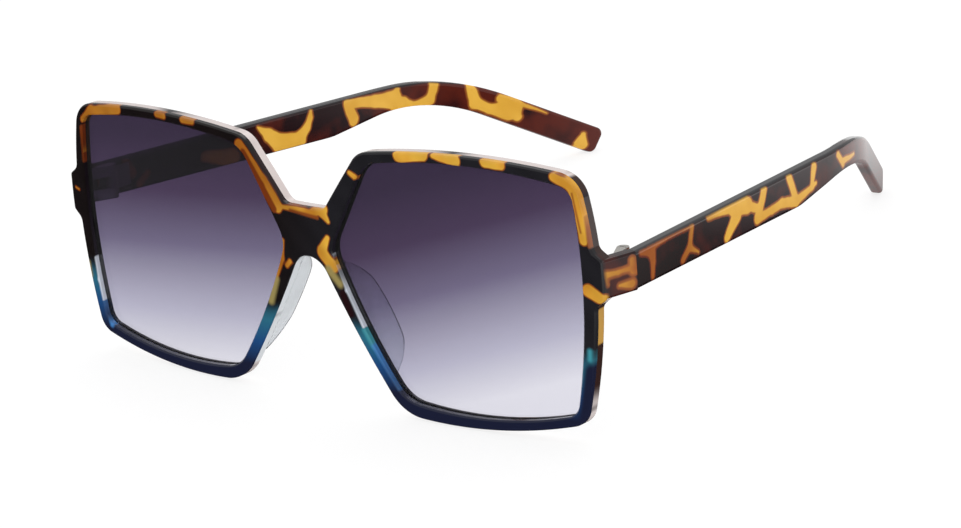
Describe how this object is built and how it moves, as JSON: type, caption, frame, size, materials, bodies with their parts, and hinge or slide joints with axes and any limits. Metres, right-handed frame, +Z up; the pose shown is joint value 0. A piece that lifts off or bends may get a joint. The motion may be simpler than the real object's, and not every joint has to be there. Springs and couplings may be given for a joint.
{
  "type": "sunglasses",
  "caption": "Oversized square sunglasses: a layered tortoise front with gradient-tinted lenses and nose pads, and patterned temples that fold on screwed barrel hinges.",
  "frame": {"origin": "on the floor under the middle of the open glasses, which stand on the rims and the temple tips", "axes": "+X across the front to the right as seen from in front, +Y from the front back along the temples, +Z up"},
  "size_m": [0.1488, 0.1484, 0.0567],
  "materials": {
    "front_tortoise": "gloss",
    "clear_backing": "gloss",
    "tinted_lens": "gloss",
    "clear_pad": "gloss",
    "temple_tortoise": "gloss",
    "hinge_metal": "satin"
  },
  "bodies": {
    "front": {"front_face": "front_tortoise", "front_backing": "clear_backing", "lens_right": "tinted_lens", "lens_left": "tinted_lens", "nose_pad_right": "clear_pad", "nose_pad_left": "clear_pad", "hinge_front_leaf_right": "hinge_metal", "hinge_front_leaf_left": "hinge_metal", "hinge_screw_right": "hinge_metal", "hinge_screw_left": "hinge_metal"},
    "temple_right_arm": {"temple_right": "temple_tortoise", "hinge_temple_leaf_right": "hinge_metal"},
    "temple_left_arm": {"temple_left": "temple_tortoise", "hinge_temple_leaf_left": "hinge_metal"}
  },
  "joints": [
    {"name": "temple_right_hinge", "type": "hinge", "parent": "front", "child": "temple_right_arm", "pos_m": [0.06986, -0.05721, 0.03385], "axis": [0, 0.0764, 0.9971], "range_deg": [0, 79]},
    {"name": "temple_left_hinge", "type": "hinge", "parent": "front", "child": "temple_left_arm", "pos_m": [-0.06986, -0.05721, 0.03385], "axis": [0, -0.0764, -0.9971], "range_deg": [0, 69]}
  ]
}
